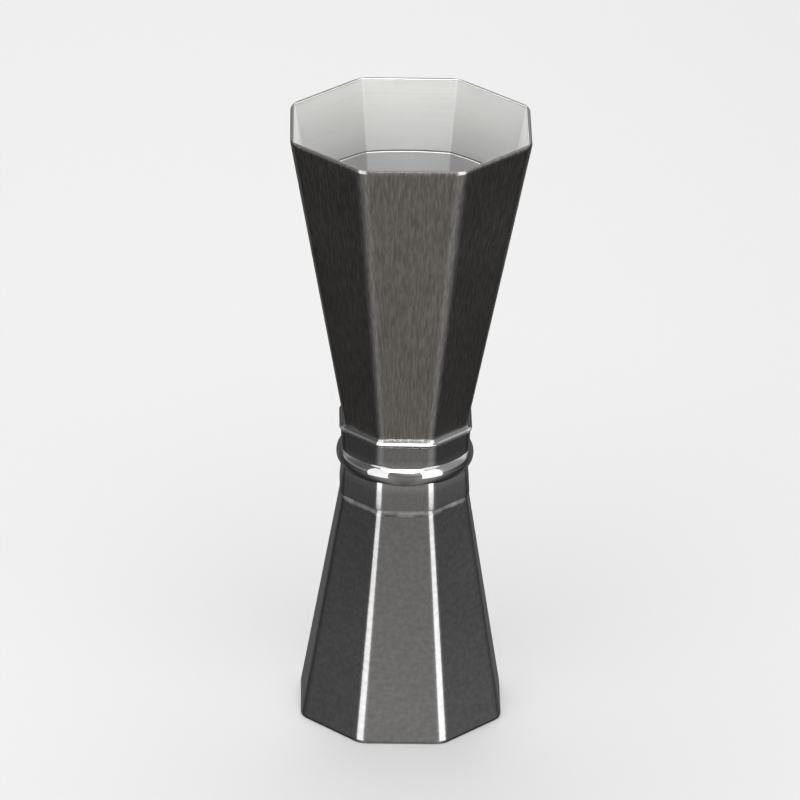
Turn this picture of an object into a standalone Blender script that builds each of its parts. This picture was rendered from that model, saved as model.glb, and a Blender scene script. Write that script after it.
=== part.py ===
"""Octagonal double-ended bar jigger: two tapered cups joined back to back at a collared waist.

Frame: +Z up, origin on the centre of the face that the jigger stands on, a flat side facing -Y.
Every length is in metres.
"""
import math

import bmesh
import bpy

MM = 0.001

# Overall size
TOTAL_HEIGHT = 112.0 * MM
UPPER_MOUTH_APOTHEM = 20.95 * MM        # axis to the middle of a flat, at the large cup's rim
LOWER_MOUTH_APOTHEM = 17.9 * MM         # the same at the small cup's rim, which is the base

# Waist
SHOULDER_Z = 42.8 * MM                  # seam between the small cup and the lower sleeve
BEAD_Z = 49.35 * MM                     # middle of the round bead
LEDGE_Z = 56.5 * MM                     # top of the upper sleeve's lip
UPPER_FOOT_APOTHEM = 10.87 * MM         # large cup where it enters the sleeve, at LEDGE_Z
LOWER_CONE_APOTHEM = 11.05 * MM         # small cup's cone carried up to SHOULDER_Z
LOWER_NECK_APOTHEM = 10.6 * MM          # small cup's neck inside the sleeve, at SHOULDER_Z

# Sheet metal
WALL = 0.8 * MM
NECK_WALL = 0.6 * MM
FLOOR = 0.8 * MM
RIM_ROUND = 0.2 * MM                    # edge rounding on both sides of a rim
FOOT_ROUND = 0.8 * MM                   # outer edge of a cup's floor
FLOOR_FILLET = 2.0 * MM                 # inside, between wall and floor
CORNER_RATIO = 0.205                    # corner radius of an outer section, per apothem
SHOULDER_HEIGHT = 1.2 * MM              # rounded shoulder where the small cup steps in to its neck

# Measuring line inside the large cup
LINE_DEPTH_FROM_RIM = 12.65 * MM
LINE_HALF_WIDTH = 0.3 * MM
LINE_CUT = 0.15 * MM

# Sleeves, bead and disc
GAP = 0.3 * MM                          # brazing gap kept between neighbouring pieces
DISC_THICKNESS = 0.6 * MM
DISC_MARGIN = 0.4 * MM                  # the disc is this much smaller than the floor above it
LIP_APOTHEM = 11.7 * MM
LIP_HEIGHT = 0.9 * MM
UPPER_SLEEVE_APOTHEM = 11.4 * MM
LOWER_SLEEVE_TOP_APOTHEM = 11.25 * MM
LOWER_SLEEVE_END_APOTHEM = 11.45 * MM
SLEEVE_CORNER_RADIUS = 3.0 * MM
SLEEVE_BEAD_CORNER_RADIUS = 5.0 * MM    # the sleeves grow rounder towards the bead
SLEEVE_EDGE = 0.2 * MM
BEAD_RADIUS = 12.15 * MM
BEAD_HALF_HEIGHT = 1.6 * MM
BEAD_BORE_RADIUS = 10.75 * MM
BEAD_SHELF_RADIUS = 11.3 * MM           # the bead's rounding starts here, outside the sleeves

# Mesh fineness
SIDES = 8
CORNER_STEPS = 5
EDGE_STEPS = 2
FILLET_STEPS = 4
BEAD_STEPS = 8
BEAD_SEGMENTS = 80

HALF_SIDE_ANGLE = math.pi / SIDES


def clear_scene():
    """Remove whatever the scene holds."""
    for old in list(bpy.data.objects):
        bpy.data.objects.remove(old, do_unlink=True)


def metal(name, colour, roughness):
    """A bare metal with its own Principled BSDF."""
    material = bpy.data.materials.new(name)
    material.use_nodes = True
    shader = material.node_tree.nodes["Principled BSDF"]
    shader.inputs["Base Color"].default_value = (*colour, 1.0)
    shader.inputs["Metallic"].default_value = 1.0
    shader.inputs["Roughness"].default_value = roughness
    return material


def finish_object(name, bm, material, sharp_angle=30):
    """Turn a bmesh into a named object with outward faces and smooth round parts."""
    bmesh.ops.recalc_face_normals(bm, faces=bm.faces)
    mesh = bpy.data.meshes.new(name)
    bm.to_mesh(mesh)
    bm.free()
    mesh.shade_smooth()
    mesh.set_sharp_from_angle(angle=math.radians(sharp_angle))
    mesh.materials.append(material)
    piece = bpy.data.objects.new(name, mesh)
    bpy.context.scene.collection.objects.link(piece)
    return piece


def octagon_points(apothem, corner_radius):
    """Outline of an octagon with rounded corners, a flat side facing -Y."""
    corner_distance = (apothem - corner_radius) / math.cos(HALF_SIDE_ANGLE)
    points = []
    for side in range(SIDES):
        corner_angle = HALF_SIDE_ANGLE * (2 * side + 1) - math.pi / 2
        centre_x = corner_distance * math.cos(corner_angle)
        centre_y = corner_distance * math.sin(corner_angle)
        for step in range(CORNER_STEPS + 1):
            turn = corner_angle + HALF_SIDE_ANGLE * (2 * step / CORNER_STEPS - 1)
            x = centre_x + corner_radius * math.cos(turn)
            y = centre_y + corner_radius * math.sin(turn)
            points.append((x, y))
    return points


def loft(sections, closed):
    """Skin octagonal sections (z, apothem, corner radius) into a solid.

    closed joins the last section to the first, as in a sleeve; otherwise both ends are capped.
    """
    bm = bmesh.new()
    rings = []
    for z, apothem, corner_radius in sections:
        rings.append([bm.verts.new((x, y, z)) for x, y in octagon_points(apothem, corner_radius)])
    pairs = list(zip(rings, rings[1:]))
    if closed:
        pairs.append((rings[-1], rings[0]))
    for first, second in pairs:
        for i in range(len(first)):
            bm.faces.new((first[i - 1], first[i], second[i], second[i - 1]))
    if not closed:
        bm.faces.new(rings[0])
        bm.faces.new(rings[-1])
    return bm


def quarter_arc(steps):
    """(sine, cosine) pairs from 0 to 90 degrees."""
    angles = [math.pi / 2 * step / steps for step in range(steps + 1)]
    return [(math.sin(angle), math.cos(angle)) for angle in angles]


def cone_apothem(mouth_apothem, taper, depth):
    return mouth_apothem - taper * depth


def cup_sections(mouth_apothem, taper, floor_depth, neck=None, line_depth=None):
    """Sections of a tapered cup as (depth, apothem, corner radius), depth measured in from its rim.

    They run from the outside of the floor up the outer wall, over the rim and down the inner wall.
    neck is (depth, outer apothem) where the outside steps in, and line_depth is a measuring line's.
    """
    side_wall = WALL * math.sqrt(1 + taper * taper)

    def outer(depth):
        if neck and depth >= neck[0]:
            return neck[1] - taper * (depth - neck[0])
        return cone_apothem(mouth_apothem, taper, depth)

    def inner(depth):
        if neck and depth >= neck[0]:
            return outer(depth) - NECK_WALL
        return cone_apothem(mouth_apothem, taper, depth) - side_wall

    def section(depth, apothem, inset):
        """inset is how far this section lies inside the cone's outer surface."""
        cone = cone_apothem(mouth_apothem, taper, depth)
        return depth, apothem, CORNER_RATIO * cone - inset

    sections = []
    for sine, cosine in quarter_arc(EDGE_STEPS):
        depth = floor_depth - FOOT_ROUND * (1 - cosine)
        inset = FOOT_ROUND * (1 - sine)
        sections.append(section(depth, outer(depth) - inset, inset))
    if neck:
        sections.append(section(neck[0], neck[1], WALL / 2))
        for sine, cosine in quarter_arc(FILLET_STEPS)[1:]:
            depth = neck[0] - SHOULDER_HEIGHT * (1 - cosine)
            cone = cone_apothem(mouth_apothem, taper, depth)
            step_in = (cone - neck[1]) * (1 - sine)
            sections.append(section(depth, cone - step_in, step_in))
    for sine, cosine in quarter_arc(EDGE_STEPS):
        inset = RIM_ROUND * (1 - cosine)
        depth = RIM_ROUND * (1 - sine)
        sections.append(section(depth, outer(depth) - inset, inset))
    for sine, cosine in reversed(quarter_arc(EDGE_STEPS)):
        inset = side_wall - RIM_ROUND * (1 - cosine)
        depth = RIM_ROUND * (1 - sine)
        sections.append(section(depth, outer(depth) - inset, inset))
    if line_depth:
        for offset, cut in ((-LINE_HALF_WIDTH, 0), (0, LINE_CUT), (LINE_HALF_WIDTH, 0)):
            depth = line_depth + offset
            sections.append(section(depth, inner(depth) + cut, side_wall - cut))
    if neck:
        depth = neck[0] - 2 * SHOULDER_HEIGHT
        sections.append(section(depth, inner(depth), side_wall))
        sections.append(section(neck[0], inner(neck[0]), side_wall))
    inside_floor = floor_depth - FLOOR
    for sine, cosine in quarter_arc(FILLET_STEPS):
        depth = inside_floor - FLOOR_FILLET * (1 - sine)
        inset = FLOOR_FILLET * (1 - cosine)
        sections.append(section(depth, inner(depth) - inset, side_wall + inset * CORNER_RATIO))
    return sections


UPPER_TAPER = (UPPER_MOUTH_APOTHEM - UPPER_FOOT_APOTHEM) / (TOTAL_HEIGHT - LEDGE_Z)
LOWER_TAPER = (LOWER_MOUTH_APOTHEM - LOWER_CONE_APOTHEM) / SHOULDER_Z
DISC_TOP_Z = BEAD_Z + DISC_THICKNESS / 2
DISC_BOTTOM_Z = BEAD_Z - DISC_THICKNESS / 2


def upper_cup():
    """Large cup, mouth up, with a measuring line round its inside."""
    floor_depth = TOTAL_HEIGHT - DISC_TOP_Z - GAP
    sections = cup_sections(UPPER_MOUTH_APOTHEM, UPPER_TAPER, floor_depth, line_depth=LINE_DEPTH_FROM_RIM)
    bm = loft([(TOTAL_HEIGHT - depth, apothem, radius) for depth, apothem, radius in sections], False)
    return finish_object("upper_cup", bm, metal("upper_cup_steel", (0.47, 0.46, 0.45), 0.34))


def lower_cup():
    """Small cup, mouth down, with a shoulder and a neck that goes up into its sleeve."""
    floor_depth = DISC_BOTTOM_Z - GAP
    neck = (SHOULDER_Z, LOWER_NECK_APOTHEM)
    sections = cup_sections(LOWER_MOUTH_APOTHEM, LOWER_TAPER, floor_depth, neck=neck)
    bm = loft(sections, False)
    return finish_object("lower_cup", bm, metal("lower_cup_steel", (0.5, 0.5, 0.5), 0.34))


def upper_neck_apothem(z):
    """Outside of the large cup's foot at height z."""
    return UPPER_FOOT_APOTHEM - UPPER_TAPER * (LEDGE_Z - z)


def lower_neck_apothem(z):
    """Outside of the small cup's neck at height z."""
    return LOWER_NECK_APOTHEM - LOWER_TAPER * (z - SHOULDER_Z)


def upper_collar():
    """Octagonal sleeve round the large cup's foot, with a rolled lip at its top."""
    bottom = BEAD_Z + BEAD_HALF_HEIGHT + GAP
    lip_bottom = LEDGE_Z - LIP_HEIGHT
    bore_top = upper_neck_apothem(LEDGE_Z) + GAP
    bore_bottom = upper_neck_apothem(bottom) + GAP
    bore_radius = CORNER_RATIO * bore_top
    lip_step = LIP_APOTHEM - UPPER_SLEEVE_APOTHEM
    sections = [
        (bottom, bore_bottom, bore_radius),
        (bottom, UPPER_SLEEVE_APOTHEM, SLEEVE_BEAD_CORNER_RADIUS),
        (bottom + LIP_HEIGHT, UPPER_SLEEVE_APOTHEM, SLEEVE_CORNER_RADIUS),
        (lip_bottom - lip_step, UPPER_SLEEVE_APOTHEM, SLEEVE_CORNER_RADIUS),
        (lip_bottom, LIP_APOTHEM, SLEEVE_CORNER_RADIUS),
    ]
    lip_width = (LIP_APOTHEM - bore_top) * 0.75
    for sine, cosine in quarter_arc(FILLET_STEPS)[1:]:
        height = lip_bottom + LIP_HEIGHT / 3 + LIP_HEIGHT * 2 / 3 * sine
        apothem = LIP_APOTHEM - lip_width * (1 - cosine)
        sections.append((height, apothem, SLEEVE_CORNER_RADIUS - lip_width * (1 - cosine)))
    sections.append((LEDGE_Z, bore_top, bore_radius))
    bm = loft(sections, True)
    return finish_object("upper_collar", bm, metal("upper_collar_steel", (0.5, 0.49, 0.48), 0.3))


def lower_collar():
    """Octagonal sleeve round the small cup's neck."""
    bottom = SHOULDER_Z + GAP
    top = BEAD_Z - BEAD_HALF_HEIGHT - GAP
    bore_radius = CORNER_RATIO * LOWER_NECK_APOTHEM
    sections = [
        (bottom, lower_neck_apothem(bottom) + GAP, bore_radius),
        (bottom, LOWER_SLEEVE_END_APOTHEM - SLEEVE_EDGE, SLEEVE_CORNER_RADIUS - SLEEVE_EDGE),
        (bottom + SLEEVE_EDGE, LOWER_SLEEVE_END_APOTHEM, SLEEVE_CORNER_RADIUS),
        (top, LOWER_SLEEVE_TOP_APOTHEM, SLEEVE_BEAD_CORNER_RADIUS),
        (top, lower_neck_apothem(top) + GAP, bore_radius),
    ]
    bm = loft(sections, True)
    return finish_object("lower_collar", bm, metal("lower_collar_steel", (0.52, 0.52, 0.52), 0.3))


def bead_ring():
    """Round ring: a flat bore, flat shelves under the sleeves and a half-round outside."""
    bm = bmesh.new()
    profile = [(BEAD_BORE_RADIUS, BEAD_HALF_HEIGHT)]
    bulge = BEAD_RADIUS - BEAD_SHELF_RADIUS
    for step in range(BEAD_STEPS + 1):
        angle = math.pi / 2 - math.pi * step / BEAD_STEPS
        radius = BEAD_SHELF_RADIUS + bulge * math.cos(angle)
        profile.append((radius, BEAD_HALF_HEIGHT * math.sin(angle)))
    profile.append((BEAD_BORE_RADIUS, -BEAD_HALF_HEIGHT))
    verts = [bm.verts.new((radius, 0, BEAD_Z + height)) for radius, height in profile]
    edges = [bm.edges.new((verts[i - 1], verts[i])) for i in range(len(verts))]
    bmesh.ops.spin(
        bm, geom=verts + edges, cent=(0, 0, 0), axis=(0, 0, 1), angle=2 * math.pi,
        steps=BEAD_SEGMENTS, use_merge=True)
    return finish_object("bead_ring", bm, metal("bead_chrome", (0.8, 0.8, 0.8), 0.06))


def joining_disc():
    """Octagonal plate between the two floors."""
    apothem = upper_neck_apothem(DISC_TOP_Z) - DISC_MARGIN
    radius = CORNER_RATIO * apothem
    bm = loft([(DISC_BOTTOM_Z, apothem, radius), (DISC_TOP_Z, apothem, radius)], False)
    return finish_object("joining_disc", bm, metal("disc_steel", (0.4, 0.4, 0.4), 0.5))


clear_scene()
upper_cup()
upper_collar()
bead_ring()
lower_collar()
lower_cup()
joining_disc()
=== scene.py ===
"""Looks of the octagonal double-ended bar jigger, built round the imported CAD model.

The frame has +Z up, the jigger stands on Z = 0 and a flat side faces -Y. Lengths are in metres.
"""
import math
from collections import namedtuple

import bmesh
import bpy
from mathutils import Matrix, Vector


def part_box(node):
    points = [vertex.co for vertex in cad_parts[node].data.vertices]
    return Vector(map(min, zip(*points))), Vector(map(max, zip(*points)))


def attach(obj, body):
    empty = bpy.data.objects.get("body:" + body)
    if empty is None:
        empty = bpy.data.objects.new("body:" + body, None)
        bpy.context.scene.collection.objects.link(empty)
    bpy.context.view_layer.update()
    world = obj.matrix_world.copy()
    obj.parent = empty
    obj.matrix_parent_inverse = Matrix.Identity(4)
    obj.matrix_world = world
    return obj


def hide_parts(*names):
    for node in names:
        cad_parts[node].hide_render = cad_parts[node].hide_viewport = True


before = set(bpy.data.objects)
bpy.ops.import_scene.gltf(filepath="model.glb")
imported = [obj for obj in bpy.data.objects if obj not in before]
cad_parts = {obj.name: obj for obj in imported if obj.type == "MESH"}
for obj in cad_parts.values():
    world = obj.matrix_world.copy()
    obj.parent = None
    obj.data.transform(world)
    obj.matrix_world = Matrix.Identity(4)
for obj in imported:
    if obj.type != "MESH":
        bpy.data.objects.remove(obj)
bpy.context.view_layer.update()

MM = 0.001

upper_low, upper_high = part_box("upper_cup")
_, lower_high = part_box("lower_cup")
_, collar_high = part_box("upper_collar")
sleeve_low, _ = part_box("lower_collar")
bead_low, bead_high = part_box("bead_ring")

# Cups
RIM_Z = upper_high.z
LEDGE_Z = collar_high.z
BEAD_Z = (bead_low.z + bead_high.z) / 2
SEAM_GAP = 0.3 * MM
SHOULDER_Z = sleeve_low.z - SEAM_GAP    # seam between the small cup and the lower sleeve
UPPER_FOOT_APOTHEM = 10.87 * MM         # large cup at LEDGE_Z
LOWER_TOP_APOTHEM = 11.05 * MM          # small cup's cone carried up to SHOULDER_Z
LOWER_NECK_APOTHEM = 10.6 * MM
WALL = 0.8 * MM
FLOOR = 0.8 * MM
ROLL_HEIGHT = 0.65 * MM                 # below a rim, where the outside rolls in
ROLL_SLOPE = math.tan(math.radians(30))
RIM_ROUND = 0.1 * MM                    # inner edge of a rim
FOOT_ROUND = 0.8 * MM
FLOOR_FILLET = 2.0 * MM
CORNER_RATIO = 0.205                    # corner radius of an outer section, per apothem
INNER_CORNER = 0.65 * MM
SMALLEST_CORNER = 0.3 * MM
SHOULDER_HEIGHT = 1.05 * MM             # tapered shoulder that leads in to the neck
SHOULDER_EASE = 0.4 * MM                # its lowest part, where it starts
SHOULDER_SLOPE = 0.243                  # added to the small cup's own taper
LINE_DEPTH = 12.8 * MM                  # measuring line, below the rim, in the middle of a flat
LINE_DIP = 0.3 * MM                     # it runs this much lower at the corners
LINE_CUT = 0.15 * MM                    # depth of the line's groove
LINE_ABOVE = 0.28 * MM                  # the groove starts this far above the line
LINE_BELOW = 0.1 * MM                   # and ends this far below it

# Collar sleeves
LIP_APOTHEM = 11.7 * MM
LIP_CROWN_DROP = 0.84 * MM              # its widest place, below LEDGE_Z
LIP_ROUND = 0.18 * MM
LIP_CROWN_TILT = math.radians(54)       # the crown faces this far above the horizontal
LIP_CREASE_APOTHEM = 11.35 * MM         # where the crown meets the steeper shoulder above it
LIP_SHOULDER_APOTHEM = 11.05 * MM       # top of that shoulder
LIP_SHOULDER_DROP = 0.02 * MM
LIP_GAP_DROP = 0.15 * MM                # the top edge folds down this far beside the cup
LIP_GROOVE_DEPTH = 0.15 * MM            # dark groove under the crown
LIP_GROOVE_TOP = 0.98 * MM              # below LEDGE_Z
LIP_GROOVE_MIDDLE = 1.1 * MM
LIP_GROOVE_END = 1.28 * MM
SLEEVE_APOTHEM = 11.4 * MM
SLEEVE_END_APOTHEM = 11.48 * MM
SLEEVE_END_Z = SHOULDER_Z + 0.1 * MM
SLEEVE_WAIST_APOTHEM = 11.05 * MM       # lower sleeve, where it runs into the bead
SLEEVE_CORNER = 2.9 * MM
SLEEVE_FOOT_APOTHEM = 11.32 * MM        # upper sleeve, where it meets the bead
SLEEVE_FOOT_Z = BEAD_Z + 1.62 * MM      # upper sleeve's round foot on the bead
SLEEVE_BLEND_HEIGHT = 0.9 * MM          # from the round foot to the octagon
SLEEVE_BLEND_POWER = 2.5                # how soon the round foot takes on corners
UPPER_SLEEVE_SINK = 1.0 * MM            # a sleeve's hidden end, up or down from BEAD_Z
LOWER_SLEEVE_SINK = 1.2 * MM
SLEEVE_BORE = 10.4 * MM
SLEEVE_BORE_CORNER = 2.2 * MM
SLEEVE_EDGE = 0.1 * MM

# Bead
BEAD_CENTRE_RADIUS = 10.3 * MM
BEAD_REACH = bead_high.x - BEAD_CENTRE_RADIUS
BEAD_HALF_HEIGHT = 2.0 * MM
BEAD_BORE = 10.0 * MM

# Mesh fineness
SIDES = 8
CORNER_STEPS = 16
FLAT_STEPS = 8
ARC_STEPS = 8
BEAD_STEPS = 48
BEAD_SEGMENTS = 256
HOLD = 0.08 * MM                        # a flat's smooth shading starts this far from its edge
HOLD_PARTS = 6                          # or a sixth of the way across, on a very short flat
TAPER_ROUNDS = 6                        # the rolled rim and the taper depend on each other

HALF_SIDE = math.pi / SIDES
SHARP_ANGLE = math.radians(20)

# Material slots of the octagonal pieces. EXTRA is the large cup's inner rim edge and the well below its
# # measuring line, in steel darkened as painted shade, or the small cup's shoulder.
OUTSIDE, POLISH, INSIDE, EXTRA, LINE = 0, 1, 2, 3, 4

# One ring of a lofted piece; slot is for the strip that follows it. Along a tapered wall, dip lets
# the ring run lower towards the corners.
Section = namedtuple("Section", "z apothem corner slot dip taper", defaults=(0.0, 0.0))


# Geometry

def octagon_points(apothem, corner_radius):
    """Outline of an octagon with rounded corners, a flat side facing -Y."""
    corner_distance = (apothem - corner_radius) / math.cos(HALF_SIDE)
    flat = 2 * (apothem - corner_radius) * math.tan(HALF_SIDE)
    hold = min(HOLD, flat / HOLD_PARTS)
    points = []
    for side in range(SIDES):
        middle = HALF_SIDE * (2 * side + 1) - math.pi / 2
        centre = corner_distance * Vector((math.cos(middle), math.sin(middle)))
        arc = []
        for step in range(CORNER_STEPS + 1):
            turn = middle + HALF_SIDE * (2 * step / CORNER_STEPS - 1)
            arc.append(centre + corner_radius * Vector((math.cos(turn), math.sin(turn))))
        before = middle - HALF_SIDE
        points.append(arc[0] + hold * Vector((math.sin(before), -math.cos(before))))
        points.extend(arc)
        after = middle + HALF_SIDE
        along = Vector((-math.sin(after), math.cos(after)))
        for step in range(FLAT_STEPS):
            points.append(arc[-1] + (hold + (flat - 2 * hold) * step / FLAT_STEPS) * along)
    return points


def ring_points(section):
    """The section's points in space."""
    points = []
    for point in octagon_points(section.apothem, section.corner):
        turn = math.atan2(point.x, -point.y)
        from_middle = (turn + HALF_SIDE) % (2 * HALF_SIDE) - HALF_SIDE
        drop = section.dip * (math.tan(from_middle) / math.tan(HALF_SIDE)) ** 2
        point *= 1 - section.taper * drop / section.apothem
        points.append((point.x, point.y, section.z - drop))
    return points


def join_rings(bm, first, second, slot=OUTSIDE):
    """Strip of faces between two rings that have the same number of points."""
    for i in range(len(first)):
        face = bm.faces.new((first[i - 1], first[i], second[i], second[i - 1]))
        face.material_index = slot


def loft(name, sections, materials, closed):
    """Skin sections into a smooth piece; closed joins the last to the first, as in a sleeve."""
    bm = bmesh.new()
    rings = [[bm.verts.new(point) for point in ring_points(section)] for section in sections]
    strips = list(zip(rings, rings[1:], sections))
    if closed:
        strips.append((rings[-1], rings[0], sections[-1]))
    for first, second, section in strips:
        join_rings(bm, first, second, section.slot)
    if not closed:
        bm.faces.new(rings[0]).material_index = sections[0].slot
        bm.faces.new(rings[-1]).material_index = sections[-1].slot
    return finish_piece(name, bm, materials)


def finish_piece(name, bm, materials):
    """Turn a bmesh into a smooth-shaded object on the root body."""
    bmesh.ops.recalc_face_normals(bm, faces=bm.faces)
    mesh = bpy.data.meshes.new(name)
    bm.to_mesh(mesh)
    bm.free()
    mesh.shade_smooth()
    mesh.set_sharp_from_angle(angle=SHARP_ANGLE)
    for material in materials:
        mesh.materials.append(material)
    piece = bpy.data.objects.new(name, mesh)
    bpy.context.scene.collection.objects.link(piece)
    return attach(piece, "root")


def quarter():
    """(sine, cosine) pairs from 0 to 90 degrees."""
    turns = [math.pi / 2 * step / ARC_STEPS for step in range(ARC_STEPS + 1)]
    return [(math.sin(turn), math.cos(turn)) for turn in turns]


class Cone:
    """Wall of a tapered octagonal cup, by depth in from its rim."""

    def __init__(self, rim_z, inward, half_width, narrow_z, narrow_apothem):
        """inward is -1 for a mouth that faces up and 1 for one that faces down."""
        self.rim_z = rim_z
        self.inward = inward
        depth = abs(narrow_z - rim_z)
        self.taper = 0.0
        for _ in range(TAPER_ROUNDS):
            lead = ROLL_HEIGHT * (1 - self.taper / (2 * (ROLL_SLOPE + self.taper)))
            self.taper = (half_width - narrow_apothem) / (depth - lead)
        self.mouth = half_width + self.taper * lead
        self.wall = WALL * math.sqrt(1 + self.taper ** 2)

    def outer(self, depth, inset=0.0, slot=OUTSIDE):
        """Ring on the outer surface, or inset from it towards the middle."""
        apothem = self.mouth - self.taper * depth
        z = self.rim_z + self.inward * depth
        return Section(z, apothem - inset, CORNER_RATIO * apothem - inset, slot)

    def inner(self, depth, inset=0.0, slot=INSIDE, dip=0.0):
        """Ring on the inner surface, or inset from it; a negative inset cuts into the wall."""
        apothem = self.mouth - self.taper * depth - self.wall - inset
        z = self.rim_z + self.inward * depth
        return Section(z, apothem, max(INNER_CORNER - inset, SMALLEST_CORNER), slot, dip, self.taper)

    def rim(self, round_slot):
        """Outside that rolls in, flat land and an inner edge rounded in round_slot's material."""
        made = [self.outer(ROLL_HEIGHT + HOLD)]
        for step in range(ARC_STEPS + 1):
            share = step / ARC_STEPS
            roll = (ROLL_SLOPE + self.taper) * ROLL_HEIGHT / 2 * share ** 2
            made.append(self.outer(ROLL_HEIGHT * (1 - share), roll))
        made[-1] = made[-1]._replace(slot=POLISH)
        made.append(self.inner(0, -RIM_ROUND - HOLD, POLISH))
        for sine, cosine in reversed(quarter()):
            made.append(self.inner(RIM_ROUND * (1 - sine), -RIM_ROUND * (1 - cosine), round_slot))
        made.append(self.inner(RIM_ROUND + HOLD))
        return made

    def floor(self, floor_depth, inset=0.0, slot=INSIDE):
        """Fillet and flat floor inside the cup."""
        made = []
        for sine, cosine in quarter():
            depth = floor_depth - FLOOR_FILLET * (1 - sine)
            made.append(self.inner(depth, inset + FLOOR_FILLET * (1 - cosine), slot))
        made.append(self.inner(floor_depth, inset + FLOOR_FILLET + HOLD, slot))
        return made


def upper_cup(materials):
    """Large cup with the measuring line inside."""
    cone = Cone(RIM_Z, -1, upper_high.x, LEDGE_Z, UPPER_FOOT_APOTHEM)
    foot_depth = RIM_Z - upper_low.z
    sections = []
    for sine, cosine in quarter():
        depth = foot_depth - FOOT_ROUND * (1 - cosine)
        sections.append(cone.outer(depth, FOOT_ROUND * (1 - sine)))
    sections.append(cone.outer(foot_depth - FOOT_ROUND - HOLD))
    sections.extend(cone.rim(EXTRA))
    # The groove's upper face takes the LINE slot, a dark colour that paints the groove's shade
    line = ((-LINE_ABOVE, 0, LINE), (0, LINE_CUT, EXTRA), (LINE_BELOW, 0, EXTRA))
    for offset, cut, slot in line:
        sections.append(cone.inner(LINE_DEPTH + offset, -cut, slot, LINE_DIP))
    floor_depth = foot_depth - FLOOR
    sections.append(cone.inner(floor_depth - FLOOR_FILLET - HOLD, slot=EXTRA))
    sections.extend(cone.floor(floor_depth, slot=EXTRA))
    cup = loft("upper_cup_shell", sections, materials, closed=False)
    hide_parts("upper_cup")
    return cup


def lower_cup(materials):
    """Small cup, standing on its rim, with the tapered shoulder under the sleeve."""
    cone = Cone(0.0, 1, lower_high.x, SHOULDER_Z, LOWER_TOP_APOTHEM)
    top = lower_high.z
    neck = LOWER_TOP_APOTHEM - LOWER_NECK_APOTHEM
    sections = [
        cone.outer(top, neck + FOOT_ROUND),
        cone.outer(top - FOOT_ROUND, neck),
        cone.outer(SHOULDER_Z, neck),
    ]
    for step in range(2 * ARC_STEPS + 1):
        up = SHOULDER_HEIGHT * (1 - step / (2 * ARC_STEPS))
        if up > SHOULDER_EASE:
            inset = SHOULDER_SLOPE * (up - SHOULDER_EASE / 2)
        else:
            inset = SHOULDER_SLOPE * up ** 2 / (2 * SHOULDER_EASE)
        sections.append(cone.outer(SHOULDER_Z - SHOULDER_HEIGHT + up, inset, EXTRA))
    sections.append(cone.outer(SHOULDER_Z - SHOULDER_HEIGHT - HOLD))
    sections.extend(cone.rim(INSIDE))
    sections.append(cone.inner(SHOULDER_Z - 2 * SHOULDER_HEIGHT))
    sections.append(cone.inner(SHOULDER_Z, neck))
    sections.extend(cone.floor(top - FLOOR, neck))
    cup = loft("lower_cup_shell", sections, materials, closed=False)
    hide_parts("lower_cup")
    return cup


def sleeve_ring(z, apothem, slot=OUTSIDE):
    """Ring of a sleeve; its corner radius grows with its apothem, so that its corners run parallel."""
    return Section(z, apothem, SLEEVE_CORNER + apothem - SLEEVE_APOTHEM, slot)


def upper_collar(materials):
    """Sleeve round the foot of the large cup: round at the bead, octagonal above, with a lip."""
    bottom = BEAD_Z + UPPER_SLEEVE_SINK
    sections = [
        Section(bottom, SLEEVE_BORE, SMALLEST_CORNER, OUTSIDE),
        Section(bottom, SLEEVE_FOOT_APOTHEM, SLEEVE_FOOT_APOTHEM, OUTSIDE),
    ]
    for step in range(2 * ARC_STEPS + 1):
        share = step / (2 * ARC_STEPS)
        roundness = (1 - share) ** SLEEVE_BLEND_POWER
        corner = SLEEVE_CORNER + (SLEEVE_FOOT_APOTHEM - SLEEVE_CORNER) * roundness
        z = SLEEVE_FOOT_Z + SLEEVE_BLEND_HEIGHT * share
        sections.append(Section(z, SLEEVE_FOOT_APOTHEM, corner, OUTSIDE))
    crown_z = LEDGE_Z - LIP_CROWN_DROP
    groove = SLEEVE_APOTHEM - LIP_GROOVE_DEPTH
    sections += [
        sleeve_ring(LEDGE_Z - LIP_GROOVE_END - HOLD, SLEEVE_APOTHEM),
        sleeve_ring(LEDGE_Z - LIP_GROOVE_END, SLEEVE_APOTHEM),
        sleeve_ring(LEDGE_Z - LIP_GROOVE_MIDDLE, groove),
        sleeve_ring(LEDGE_Z - LIP_GROOVE_TOP, groove),
        sleeve_ring(crown_z - HOLD, LIP_APOTHEM - HOLD / 2, POLISH),
    ]
    for step in range(ARC_STEPS + 1):
        turn = LIP_CROWN_TILT * step / ARC_STEPS
        apothem = LIP_APOTHEM - LIP_ROUND * (1 - math.cos(turn))
        z = crown_z + LIP_ROUND * math.sin(turn)
        sections.append(sleeve_ring(z, apothem, POLISH))
    crease_z = z + (apothem - LIP_CREASE_APOTHEM) / math.tan(LIP_CROWN_TILT)
    sections += [
        sleeve_ring(crease_z, LIP_CREASE_APOTHEM),
        sleeve_ring(LEDGE_Z - LIP_SHOULDER_DROP, LIP_SHOULDER_APOTHEM),
        Section(LEDGE_Z - LIP_GAP_DROP, UPPER_FOOT_APOTHEM, SLEEVE_BORE_CORNER, OUTSIDE),
        Section(LEDGE_Z - LIP_GAP_DROP, SLEEVE_BORE, SLEEVE_BORE_CORNER, OUTSIDE),
    ]
    sleeve = loft("upper_collar_sleeve", sections, materials, closed=True)
    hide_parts("upper_collar")
    return sleeve


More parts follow.
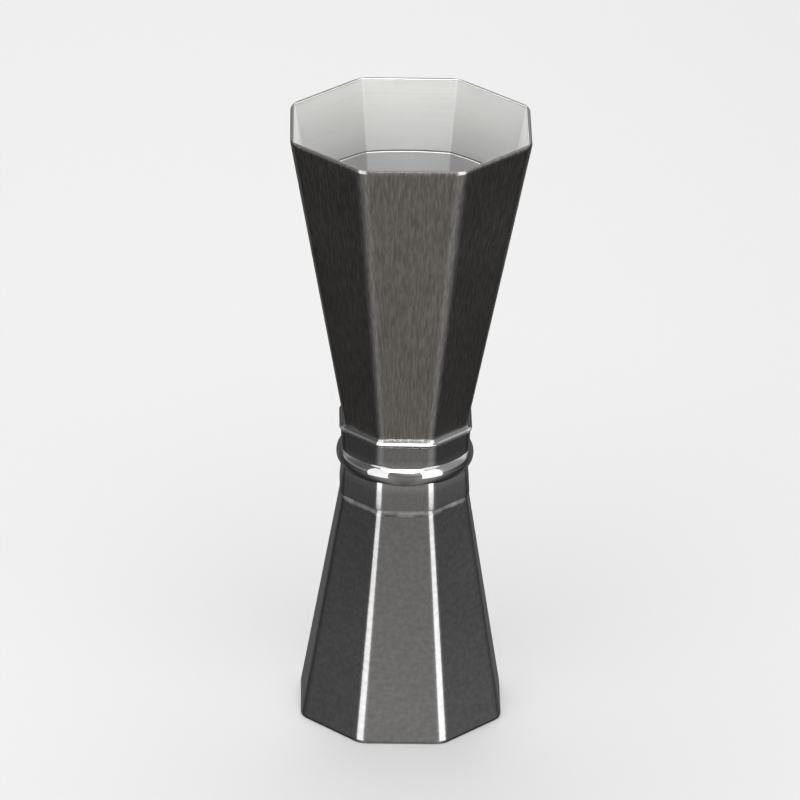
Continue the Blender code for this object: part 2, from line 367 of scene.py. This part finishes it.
def lower_collar(materials):
    """Octagonal sleeve above the small cup, a little wider at its end."""
    top = BEAD_Z - LOWER_SLEEVE_SINK
    sections = [
        Section(SLEEVE_END_Z, SLEEVE_BORE, SLEEVE_BORE_CORNER, OUTSIDE),
        sleeve_ring(SLEEVE_END_Z, SLEEVE_END_APOTHEM - SLEEVE_EDGE - HOLD, POLISH),
    ]
    for sine, cosine in quarter():
        inset = SLEEVE_EDGE * (1 - sine)
        z = SLEEVE_END_Z + SLEEVE_EDGE * (1 - cosine)
        sections.append(sleeve_ring(z, SLEEVE_END_APOTHEM - inset, POLISH))
    sections += [
        sleeve_ring(SLEEVE_END_Z + SLEEVE_EDGE + HOLD, SLEEVE_END_APOTHEM),
        Section(top, SLEEVE_WAIST_APOTHEM, SLEEVE_CORNER, OUTSIDE),
        Section(top, SLEEVE_BORE, SMALLEST_CORNER, OUTSIDE),
    ]
    sleeve = loft("lower_collar_sleeve", sections, materials, closed=True)
    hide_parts("lower_collar")
    return sleeve


def bead_profile():
    """(radius, height) pairs of the bead's section, from its top bore edge round the outside."""
    start = math.acos((BEAD_BORE - BEAD_CENTRE_RADIUS) / BEAD_REACH)
    pairs = []
    for step in range(BEAD_STEPS + 1):
        turn = start * (1 - 2 * step / BEAD_STEPS)
        radius = BEAD_CENTRE_RADIUS + BEAD_REACH * math.cos(turn)
        pairs.append((radius, BEAD_HALF_HEIGHT * math.sin(turn)))
    return pairs


def bead(materials):
    """Round polished ring between the two sleeves."""
    bm = bmesh.new()
    rings = []
    for segment in range(BEAD_SEGMENTS):
        turn = 2 * math.pi * segment / BEAD_SEGMENTS
        points = [
            (radius * math.cos(turn), radius * math.sin(turn), BEAD_Z + height)
            for radius, height in bead_profile()]
        rings.append([bm.verts.new(point) for point in points])
    for segment in range(BEAD_SEGMENTS):
        join_rings(bm, rings[segment - 1], rings[segment])
    ring = finish_piece("polished_bead", bm, materials)
    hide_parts("bead_ring")
    return ring


# Materials

COLOUR_A, COLOUR_B = 6, 7               # a Mix node's two colour inputs
COLOUR_RESULT = 2                       # and its colour output


class Metal:
    """A bare metal's node tree: a Principled BSDF, with helpers for the nodes that feed it."""

    def __init__(self, name):
        self.material = bpy.data.materials.new(name)
        self.material.use_nodes = True
        self.tree = self.material.node_tree
        self.shader = self.tree.nodes["Principled BSDF"]
        self.shader.inputs["Metallic"].default_value = 1.0
        self.coords = self.tree.nodes.new("ShaderNodeTexCoord").outputs["Object"]

    def link(self, value, socket):
        """Set a socket to a number, or wire another node's output to it."""
        if isinstance(value, bpy.types.NodeSocket):
            self.tree.links.new(value, socket)
        else:
            socket.default_value = value

    def follow_cone(self, wall):
        """Make patterns run along a tapered wall; wall is two (height, apothem) pairs."""
        (first_z, first_apothem), (second_z, second_apothem) = wall
        slope = (second_apothem - first_apothem) / (second_z - first_z)
        widening = self.math("MULTIPLY", self.height(), slope / first_apothem)
        width = self.math("ADD", widening, 1 - first_z * slope / first_apothem)
        narrowing = self.math("DIVIDE", 1.0, width)
        scale = self.tree.nodes.new("ShaderNodeCombineXYZ")
        self.link(narrowing, scale.inputs["X"])
        self.link(narrowing, scale.inputs["Y"])
        scale.inputs["Z"].default_value = 1.0
        follow = self.tree.nodes.new("ShaderNodeVectorMath")
        follow.operation = "MULTIPLY"
        self.link(self.coords, follow.inputs[0])
        self.link(scale.outputs["Vector"], follow.inputs[1])
        self.coords = follow.outputs["Vector"]

    def noise(self, scale, detail, roughness, offset):
        """Noise from 0 to 1 with scale cells per metre along X, Y and Z."""
        mapping = self.tree.nodes.new("ShaderNodeMapping")
        mapping.inputs["Scale"].default_value = scale
        mapping.inputs["Location"].default_value = offset
        self.link(self.coords, mapping.inputs["Vector"])
        noise = self.tree.nodes.new("ShaderNodeTexNoise")
        noise.inputs["Scale"].default_value = 1.0
        noise.inputs["Detail"].default_value = detail
        noise.inputs["Roughness"].default_value = roughness
        self.link(mapping.outputs["Vector"], noise.inputs["Vector"])
        return noise.outputs["Fac"]

    def spread(self, value, low, high, from_low=0.3, from_high=0.7):
        """Map from_low..from_high, where most of a noise lies, to low..high."""
        ranged = self.tree.nodes.new("ShaderNodeMapRange")
        ranged.inputs["From Min"].default_value = from_low
        ranged.inputs["From Max"].default_value = from_high
        ranged.inputs["To Min"].default_value = low
        ranged.inputs["To Max"].default_value = high
        self.link(value, ranged.inputs["Value"])
        return ranged.outputs["Result"]

    def math(self, operation, first, second):
        combined = self.tree.nodes.new("ShaderNodeMath")
        combined.operation = operation
        self.link(first, combined.inputs[0])
        self.link(second, combined.inputs[1])
        return combined.outputs["Value"]

    def height(self):
        """Distance above the bottom of the jigger."""
        split = self.tree.nodes.new("ShaderNodeSeparateXYZ")
        self.link(self.coords, split.inputs["Vector"])
        return split.outputs["Z"]

    def scaled(self, colour, tone):
        """The colour times a tone near 1."""
        scale = self.tree.nodes.new("ShaderNodeVectorMath")
        scale.operation = "SCALE"
        scale.inputs[0].default_value = colour
        self.link(tone, scale.inputs["Scale"])
        return scale.outputs["Vector"]

    def tint(self, factor, dark, light):
        """Colour between dark and light."""
        mix = self.tree.nodes.new("ShaderNodeMix")
        mix.data_type = "RGBA"
        self.link(factor, mix.inputs["Factor"])
        mix.inputs[COLOUR_A].default_value = (*dark, 1.0)
        mix.inputs[COLOUR_B].default_value = (*light, 1.0)
        return mix.outputs[COLOUR_RESULT]

    def bump(self, height, depth):
        """Normal of a relief that is depth deep."""
        bump = self.tree.nodes.new("ShaderNodeBump")
        bump.inputs["Strength"].default_value = 1.0
        bump.inputs["Distance"].default_value = depth
        self.link(height, bump.inputs["Height"])
        return bump.outputs["Normal"]

    def finish(self, colour, roughness, normal):
        """Wire up the shader; the material is done."""
        self.link(colour, self.shader.inputs["Base Color"])
        self.link(roughness, self.shader.inputs["Roughness"])
        self.link(normal, self.shader.inputs["Normal"])
        return self.material


def shade(colour, factor):
    """The colour times a factor."""
    return tuple(channel * factor for channel in colour)


STREAK_WIDTH = 0.2 * MM
MOTTLE_SIZE = 0.8 * MM

# Noise scales, in cells per metre along X, Y and Z
SATIN_SMUDGES = (90, 90, 60)
SPUN_LINES = (35, 35, 3600)
SPUN_SMUDGES = (60, 60, 60)
EDGE_RIPPLE = (500, 500, 1300)
EDGE_PATCHES = (380, 380, 900)
POLISH_HAZE = (220, 220, 220)
POLISH_HAIRLINES = (900, 900, 6000)

# Tones that a colour is multiplied by, darkest and lightest
SPUN_TONES = (0.95, 1.03)
EDGE_TONES = (0.55, 1.5)
POLISH_TONES = (0.96, 1.02)
SMUDGE_SHARE = 0.25                     # contrast of the smudges, per contrast of the streaks
SPUN_NOISE_LIMITS = (0.35, 0.65)        # noise values that give SPUN_TONES

# Added to a finish's roughness, or taken from it and added to it
GRAIN_ROUGHNESS = 0.025
SATIN_SMUDGE_ROUGHNESS = (-0.02, 0.03)
LINE_ROUGHNESS = 0.03
SPUN_SMUDGE_ROUGHNESS = 0.02
RIPPLE_ROUGHNESS = 0.03
PATCH_ROUGHNESS = (-0.04, 0.05)
HAIRLINE_ROUGHNESS = 0.015
HAZE_ROUGHNESS_SHARES = (0.6, 1.5)      # the polish's roughness is multiplied by these

# Depth of the relief
SATIN_RELIEF = 0.003 * MM
SPUN_RELIEF = 0.004 * MM
EDGE_RELIEF = 0.03 * MM
POLISH_RELIEF = 0.0004 * MM


def satin_outside(
        name, colour, roughness, streak_length, contrast, offset, mottle=0.0, painted_shading_heights=None,
        middle=0.0, relief=SATIN_RELIEF, wall=None):
    """Fine satin finish with its grain running up and down.

    mottle is the contrast of small soft spots. The tones by height, two distances from the height
    middle, above or below it and the tone at each, paint light: a lighter band in place of reflected
    light. relief is the depth of the grain. wall is as in follow_cone.
    """
    metal = Metal(name)
    if wall:
        metal.follow_cone(wall)
    across = 1 / STREAK_WIDTH
    grain = metal.noise((across, across, 1 / streak_length), detail=1, roughness=0.6, offset=offset)
    smudge = metal.noise(SATIN_SMUDGES, detail=4, roughness=0.55, offset=offset)
    spot = 1 / MOTTLE_SIZE
    spots = metal.noise((spot, spot, spot), detail=2, roughness=0.5, offset=offset)
    streaks = metal.spread(grain, 1 - contrast, 1 + contrast)
    clouds = metal.spread(smudge, 1 - SMUDGE_SHARE * contrast, 1 + SMUDGE_SHARE * contrast)
    tone = metal.math("MULTIPLY", streaks, clouds)
    tone = metal.math("MULTIPLY", tone, metal.spread(spots, 1 - mottle, 1 + mottle))
    # Painted light: the tone by height makes a band lighter, in place of light reflected there
    if painted_shading_heights:
        low, high, low_tone, high_tone = painted_shading_heights
        away = metal.math("ABSOLUTE", metal.math("SUBTRACT", metal.height(), middle), 0.0)
        tone = metal.math("MULTIPLY", tone, metal.spread(away, low_tone, high_tone, low, high))
    smoother, rougher = SATIN_SMUDGE_ROUGHNESS
    rough = metal.math(
        "ADD", metal.spread(grain, -GRAIN_ROUGHNESS, GRAIN_ROUGHNESS),
        metal.spread(smudge, roughness + smoother, roughness + rougher))
    normal = metal.bump(grain, relief)
    return metal.finish(metal.scaled(colour, tone), rough, normal)


def satin_inside(name, colour, roughness, offset, painted_shading_heights):
    """Spun satin finish with fine lines round the cup; painted shade gives a tone at each of two levels.
    """
    metal = Metal(name)
    lines = metal.noise(SPUN_LINES, detail=3, roughness=0.6, offset=offset)
    smudge = metal.noise(SPUN_SMUDGES, detail=4, roughness=0.55, offset=offset)
    both = metal.math("MULTIPLY", metal.math("ADD", lines, smudge), 0.5)
    low, high, low_tone, high_tone = painted_shading_heights
    # Painted shade: the tone changes with height between the two levels, set darker deeper in the cup
    painted_depth_shade = metal.spread(metal.height(), low_tone, high_tone, low, high)
    tone = metal.math("MULTIPLY", metal.spread(both, *SPUN_TONES, *SPUN_NOISE_LIMITS), painted_depth_shade)
    rough = metal.math(
        "ADD", metal.spread(lines, -LINE_ROUGHNESS, LINE_ROUGHNESS),
        metal.spread(smudge, roughness - SPUN_SMUDGE_ROUGHNESS, roughness + SPUN_SMUDGE_ROUGHNESS))
    normal = metal.bump(lines, SPUN_RELIEF)
    return metal.finish(metal.scaled(colour, tone), rough, normal)


def worked_edge(name, colour, roughness, offset):
    """Unevenly burnished metal, for the shoulder under the sleeve."""
    metal = Metal(name)
    ripple = metal.noise(EDGE_RIPPLE, detail=3, roughness=0.6, offset=offset)
    patches = metal.noise(EDGE_PATCHES, detail=3, roughness=0.5, offset=offset)
    tone = metal.spread(patches, *EDGE_TONES)
    smoother, rougher = PATCH_ROUGHNESS
    rough = metal.math(
        "ADD", metal.spread(ripple, -RIPPLE_ROUGHNESS, RIPPLE_ROUGHNESS),
        metal.spread(patches, roughness + smoother, roughness + rougher))
    normal = metal.bump(ripple, EDGE_RELIEF)
    return metal.finish(metal.scaled(colour, tone), rough, normal)


def polished(name, colour, roughness, offset):
    """Bright polish with faint buffing haze and hairline scratches."""
    metal = Metal(name)
    haze = metal.noise(POLISH_HAZE, detail=5, roughness=0.6, offset=offset)
    hairline = metal.noise(POLISH_HAIRLINES, detail=2, roughness=0.5, offset=offset)
    smoother, rougher = HAZE_ROUGHNESS_SHARES
    rough = metal.math(
        "ADD", metal.spread(haze, roughness * smoother, roughness * rougher),
        metal.spread(hairline, 0.0, HAIRLINE_ROUGHNESS))
    normal = metal.bump(hairline, POLISH_RELIEF)
    darker, lighter = POLISH_TONES
    return metal.finish(metal.tint(haze, shade(colour, darker), shade(colour, lighter)), rough, normal)


# Camera, lights and surroundings

CAMERA_DISTANCE = 1.3311
CAMERA_AZIMUTH = math.radians(-1.043)
CAMERA_ELEVATION = math.radians(25.2553)
CAMERA_ROLL = math.radians(1.0404)
CAMERA_LENS = 339.66                    # lens and sensor width are in millimetres
CAMERA_SENSOR = 36.0
AIM_HEIGHT = 59.12 * MM
AIM_ASIDE = -1.03 * MM

FLOOR_RADIUS = 3.0
FLOOR_COLOUR = (0.325, 0.325, 0.325)
DOME_GLOW = 0.9


def add_camera():
    """Camera in front of the jigger and above it, looking down, slightly rolled."""
    side = Vector((math.cos(CAMERA_AZIMUTH), math.sin(CAMERA_AZIMUTH), 0.0))
    away = Vector((math.sin(CAMERA_AZIMUTH), -math.cos(CAMERA_AZIMUTH), 0.0))
    back = away * math.cos(CAMERA_ELEVATION) + Vector((0, 0, math.sin(CAMERA_ELEVATION)))
    up = back.cross(side)
    right = side * math.cos(CAMERA_ROLL) + up * math.sin(CAMERA_ROLL)
    up = back.cross(right)
    aim = side * AIM_ASIDE + Vector((0, 0, AIM_HEIGHT))
    data = bpy.data.cameras.new("camera")
    data.lens = CAMERA_LENS
    data.sensor_width = CAMERA_SENSOR
    camera = bpy.data.objects.new("camera", data)
    camera.matrix_world = Matrix.Translation(aim + back * CAMERA_DISTANCE) @ Matrix(
        (right, up, back)).transposed().to_4x4()
    bpy.context.scene.collection.objects.link(camera)
    bpy.context.scene.camera = camera


def add_panel_light(name, place, target, width, height, glow):
    """Rectangular soft light of that radiance."""
    data = bpy.data.lights.new(name, "AREA")
    data.shape = "RECTANGLE"
    data.size = width
    data.size_y = height
    data.energy = glow * math.pi * width * height
    light = bpy.data.objects.new(name, data)
    light.location = place
    light.rotation_mode = "QUATERNION"
    light.rotation_quaternion = (Vector(place) - Vector(target)).to_track_quat("Z", "Y")
    bpy.context.scene.collection.objects.link(light)


def pale_material(name, colour):
    """Matt paper."""
    material = bpy.data.materials.new(name)
    material.use_nodes = True
    shader = material.node_tree.nodes["Principled BSDF"]
    shader.inputs["Base Color"].default_value = (*colour, 1.0)
    shader.inputs["Roughness"].default_value = 0.9
    shader.inputs["Specular IOR Level"].default_value = 0.1
    return material


def glow_material(name, glow):
    """Plain glow, without reflections."""
    material = bpy.data.materials.new(name)
    material.use_nodes = True
    nodes = material.node_tree.nodes
    nodes.clear()
    emission = nodes.new("ShaderNodeEmission")
    emission.inputs["Strength"].default_value = glow
    output = nodes.new("ShaderNodeOutputMaterial")
    material.node_tree.links.new(emission.outputs["Emission"], output.inputs["Surface"])
    return material


def add_stage():
    """Pale floor and a pale dome, which the metal doesn't mirror."""
    bm = bmesh.new()
    bmesh.ops.create_circle(bm, cap_ends=True, segments=96, radius=FLOOR_RADIUS)
    floor_mesh = bpy.data.meshes.new("floor")
    bm.to_mesh(floor_mesh)
    bm.free()
    floor_mesh.materials.append(pale_material("floor_paper", FLOOR_COLOUR))
    floor = bpy.data.objects.new("floor", floor_mesh)
    bm = bmesh.new()
    bmesh.ops.create_uvsphere(bm, u_segments=64, v_segments=32, radius=FLOOR_RADIUS)
    dome_mesh = bpy.data.meshes.new("dome")
    bm.to_mesh(dome_mesh)
    bm.free()
    dome_mesh.materials.append(glow_material("dome_glow", DOME_GLOW))
    dome = bpy.data.objects.new("dome", dome_mesh)
    for thing in (floor, dome):
        bpy.context.scene.collection.objects.link(thing)
        thing.visible_glossy = False
        thing.visible_shadow = False
    dome.visible_diffuse = False


# Surroundings that the metal mirrors, hidden from the camera by the dome: radiance by direction.
# Sine is that of the angle above the horizontal. Turn is in degrees, 0 straight ahead of the front
# flat and positive to the right. Low down the glow is GLOW_BY_SINE times SHARE_BY_TURN; higher up it
# is SKY_BY_TURN.
GLOW_BY_SINE = ((-1.0, 0.13), (-0.7, 0.165), (-0.4, 0.20), (-0.12, 0.215), (0.05, 0.18), (1.0, 0.18))
SHARE_BY_TURN = (
    (-180, 0.45), (-155, 0.5), (-130, 0.35), (-112, 0.15), (-100, 0.2), (-90, 0.265), (-75, 0.4),
    (-60, 0.75), (-45, 1.2), (-30, 1.4), (-15, 1.08), (0, 1.0), (15, 1.08), (30, 1.45), (45, 1.4),
    (60, 0.95), (75, 0.58), (90, 0.3), (100, 0.25), (112, 0.18), (130, 0.35), (155, 0.5), (180, 0.45))
SKY_BY_TURN = (
    (-180, 0.42), (-150, 0.5), (-130, 0.85), (-108, 0.36), (-80, 0.32), (-55, 0.5), (0, 0.5),
    (55, 0.5), (80, 0.34), (108, 0.36), (130, 0.85), (150, 0.5), (180, 0.42))
SKY_LOW_SINE = 0.12
SKY_HIGH_SINE = 0.42
SIDE_SKY_LIFT = 0.26                    # at the sides the sky starts this much lower
LEFT_DIMMING = 0.6                      # on the left it is a low bright band, dimmer above
LEFT_BAND_SINES = (0.08, 0.25)
LEFT_EDGE = 0.3                         # the left's dimming fades out over this far either way in X
SPOT_BY_SINE = (
    (-1.0, 0.0), (-0.5, 0.0), (-0.42, 0.05), (-0.34, 1.0), (-0.25, 0.4), (-0.18, 0.0), (1.0, 0.0))
SPOT_GLOWS = (0.03, 0.075)              # low at each side, left and right
SPOT_EDGE = 0.5                         # between the two glows, either way in X
SIDE_SKY_SQUARES = (0.5, 0.9)           # X squared, from where the sky lifts to where it is fully lifted
SPOT_SQUARES = (0.6, 0.95)              # the same for the spots
FRONT_TINT_SINES = (0.3, 0.6)           # towards -Y, where the tint starts and where it is full
FRONT_TINT = (1.0, 0.97, 0.92)


class Surroundings:
    """The world's node tree."""

    def __init__(self):
        world = bpy.data.worlds.new("studio")
        bpy.context.scene.world = world
        world.use_nodes = True
        self.tree = world.node_tree
        self.background = self.tree.nodes["Background"]
        self.background.inputs["Color"].default_value = (1, 1, 1, 1)
        coords = self.tree.nodes.new("ShaderNodeTexCoord")
        split = self.tree.nodes.new("ShaderNodeSeparateXYZ")
        self.tree.links.new(coords.outputs["Generated"], split.inputs["Vector"])
        self.x = split.outputs["X"]
        self.y = split.outputs["Y"]
        self.z = split.outputs["Z"]

    def plug(self, value, socket):
        """Set a socket to a number, or wire another node's output to it."""
        if isinstance(value, bpy.types.NodeSocket):
            self.tree.links.new(value, socket)
        else:
            socket.default_value = value

    def math(self, operation, first, second=0.0):
        node = self.tree.nodes.new("ShaderNodeMath")
        node.operation = operation
        self.plug(first, node.inputs[0])
        self.plug(second, node.inputs[1])
        return node.outputs["Value"]

    def curve(self, value, low, high, pairs):
        """Smooth curve through pairs, for a value from low to high."""
        node = self.tree.nodes.new("ShaderNodeFloatCurve")
        points = node.mapping.curves[0].points
        scaled = [((x - low) / (high - low), y) for x, y in pairs]
        points[0].location = scaled[0]
        points[1].location = scaled[-1]
        for place in scaled[1:-1]:
            points.new(*place)
        node.mapping.extend = "HORIZONTAL"
        node.mapping.update()
        share = self.math("DIVIDE", self.math("SUBTRACT", value, low), high - low)
        self.plug(share, node.inputs["Value"])
        return node.outputs["Value"]

    def ease(self, value, low, high, to_low=0.0, to_high=1.0):
        """Smooth step from to_low to to_high, for a value from low to high."""
        node = self.tree.nodes.new("ShaderNodeMapRange")
        node.interpolation_type = "SMOOTHSTEP"
        limits = {"From Min": low, "From Max": high, "To Min": to_low, "To Max": to_high}
        for name, number in limits.items():
            node.inputs[name].default_value = number
        self.plug(value, node.inputs["Value"])
        return node.outputs["Result"]


def add_world():
    """Radiance from every direction, built from the curves above."""
    around = Surroundings()
    ahead = around.math("MULTIPLY", around.y, -1.0)
    degrees = around.math("MULTIPLY", around.math("ARCTAN2", around.x, ahead), 180 / math.pi)
    low_glow = around.math(
        "MULTIPLY", around.curve(around.z, -1, 1, GLOW_BY_SINE),
        around.curve(degrees, -180, 180, SHARE_BY_TURN))
    leftness = around.ease(around.x, -LEFT_EDGE, LEFT_EDGE, 1.0, 0.0)
    dimming = around.ease(around.z, *LEFT_BAND_SINES, 0.0, LEFT_DIMMING)
    share = around.math("SUBTRACT", 1.0, around.math("MULTIPLY", leftness, dimming))
    sky = around.math("MULTIPLY", around.curve(degrees, -180, 180, SKY_BY_TURN), share)
    beside = around.math("MULTIPLY", around.x, around.x)
    lift = around.math("MULTIPLY", around.ease(beside, *SIDE_SKY_SQUARES), SIDE_SKY_LIFT)
    height = around.ease(around.math("ADD", around.z, lift), SKY_LOW_SINE, SKY_HIGH_SINE)
    low_part = around.math("MULTIPLY", low_glow, around.math("SUBTRACT", 1.0, height))
    glow = around.math("ADD", low_part, around.math("MULTIPLY", sky, height))
    spot = around.math(
        "MULTIPLY", around.curve(around.z, -1, 1, SPOT_BY_SINE), around.ease(beside, *SPOT_SQUARES))
    spot = around.math("MULTIPLY", spot, around.ease(around.x, -SPOT_EDGE, SPOT_EDGE, *SPOT_GLOWS))
    around.plug(around.math("ADD", glow, spot), around.background.inputs["Strength"])
    tint = around.tree.nodes.new("ShaderNodeMix")
    tint.data_type = "RGBA"
    tint.inputs[COLOUR_A].default_value = (1, 1, 1, 1)
    tint.inputs[COLOUR_B].default_value = (*FRONT_TINT, 1)
    around.plug(around.ease(ahead, *FRONT_TINT_SINES), tint.inputs["Factor"])
    around.plug(tint.outputs[COLOUR_RESULT], around.background.inputs["Color"])


OVERHEAD_PLACE = (-0.05, 0.16, 0.75)
OVERHEAD_TARGET = (-0.05, 0.16, 0.0)
OVERHEAD_WIDTH = 0.72
OVERHEAD_LENGTH = 1.88
OVERHEAD_GLOW = 6.0
SIDE_PANELS = (("left", -45, 1.05), ("right", 45, 1.15))    # name, degrees from the front, glow
SIDE_DISTANCE = 0.6
SIDE_WIDTH = 0.38
SIDE_BOTTOM = -0.185
SIDE_TOP = 0.72


def add_lights():
    """Large overhead panel and an upright panel on each side of the front."""
    add_panel_light(
        "overhead", OVERHEAD_PLACE, OVERHEAD_TARGET, OVERHEAD_WIDTH, OVERHEAD_LENGTH, OVERHEAD_GLOW)
    middle = (SIDE_BOTTOM + SIDE_TOP) / 2
    for name, azimuth, glow in SIDE_PANELS:
        turn = math.radians(azimuth)
        place = (SIDE_DISTANCE * math.sin(turn), -SIDE_DISTANCE * math.cos(turn), middle)
        add_panel_light(name, place, (0, 0, middle), SIDE_WIDTH, SIDE_TOP - SIDE_BOTTOM, glow)


bpy.context.scene.view_settings.view_transform = "Standard"
add_camera()
add_stage()
add_world()
add_lights()

# Slightly warm: partly the steel's own tint and partly a painted warm reflection from the front
UPPER_STEEL = (0.612, 0.588, 0.565)
LOWER_STEEL = (0.597, 0.598, 0.604)
# Lightened far beyond the steel's own colour: painted light for the large cup's bright inside
LIGHTENED_INSIDE_STEEL = (0.93, 0.93, 0.92)
# Darkened steel: painted shade for the well under the measuring line and for the inner rim edge
SHADED_WELL_STEEL = (0.51, 0.51, 0.505)
# Dark colour: painted shade in the measuring line's groove
LINE_PAINTED_SHADE = (0.28, 0.28, 0.28)
SHOULDER_STEEL = (0.60, 0.605, 0.60)
BRIGHT = (0.72, 0.72, 0.73)

# Materials are listed in the order of the slots.
bright = polished("rim_polish", BRIGHT, roughness=0.05, offset=(3, 1, 7))
upper_cup([
    satin_outside(
        "upper_outside_steel", UPPER_STEEL, roughness=0.18, streak_length=2.2 * MM, contrast=0.21,
        offset=(0, 0, 0), wall=((LEDGE_Z, UPPER_FOOT_APOTHEM), (RIM_Z, upper_high.x))),
    bright,
    # Painted shade: darker with depth, down to the measuring line
    satin_inside(
        "upper_inside_painted_light_and_shade", LIGHTENED_INSIDE_STEEL, roughness=0.5, offset=(5, 2, 1),
        painted_shading_heights=(RIM_Z - LINE_DEPTH, RIM_Z, 0.66, 1.0)),
    # Painted shade: darker still towards the floor of the well
    satin_inside(
        "upper_well_painted_shade", SHADED_WELL_STEEL, roughness=0.5, offset=(1, 4, 9),
        painted_shading_heights=(LEDGE_Z, RIM_Z - LINE_DEPTH, 0.4, 1.0)),
    satin_inside(
        "line_painted_shade", LINE_PAINTED_SHADE, roughness=0.4, offset=(7, 7, 1),
        painted_shading_heights=(LEDGE_Z, RIM_Z, 1.0, 1.0)),
])
lower_cup([
    # Painted light: lighter towards the foot, in place of a reflection of the lit ground near it
    satin_outside(
        "lower_outside_steel_painted_light", LOWER_STEEL, roughness=0.15, streak_length=0.9 * MM, contrast=0.04,
        offset=(11, 4, 2), mottle=0.1, painted_shading_heights=(6.0 * MM, SHOULDER_Z, 1.2, 0.94),
        relief=0.0012 * MM, wall=((SHOULDER_Z, LOWER_TOP_APOTHEM), (0.0, lower_high.x))),
    bright,
    # Painted shade: darker deeper inside
    satin_inside(
        "lower_inside_steel_painted_shade", LOWER_STEEL, roughness=0.34, offset=(8, 8, 3),
        painted_shading_heights=(0.0, SHOULDER_Z, 1.0, 0.9)),
    worked_edge("lower_shoulder_steel", SHOULDER_STEEL, roughness=0.2, offset=(6, 3, 5)),
])
# Painted light: lighter within a few millimetres of the bead, in place of the bead's light reflected on
# the sleeves
collar_steel_painted_light = satin_outside(
    "collar_outside_steel_painted_light", LOWER_STEEL, roughness=0.11, streak_length=0.9 * MM, contrast=0.08,
    offset=(2, 9, 6), mottle=0.05, painted_shading_heights=(2.1 * MM, 3.3 * MM, 1.32, 0.99), middle=BEAD_Z)
upper_collar([collar_steel_painted_light, bright])
lower_collar([collar_steel_painted_light, bright])
bead([polished("bead_polish", BRIGHT, roughness=0.04, offset=(1, 6, 2))])
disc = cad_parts["joining_disc"]
disc.data.materials[0] = satin_outside(
    "disc_steel", LOWER_STEEL, roughness=0.4, streak_length=2.0 * MM, contrast=0.08, offset=(4, 4, 4))
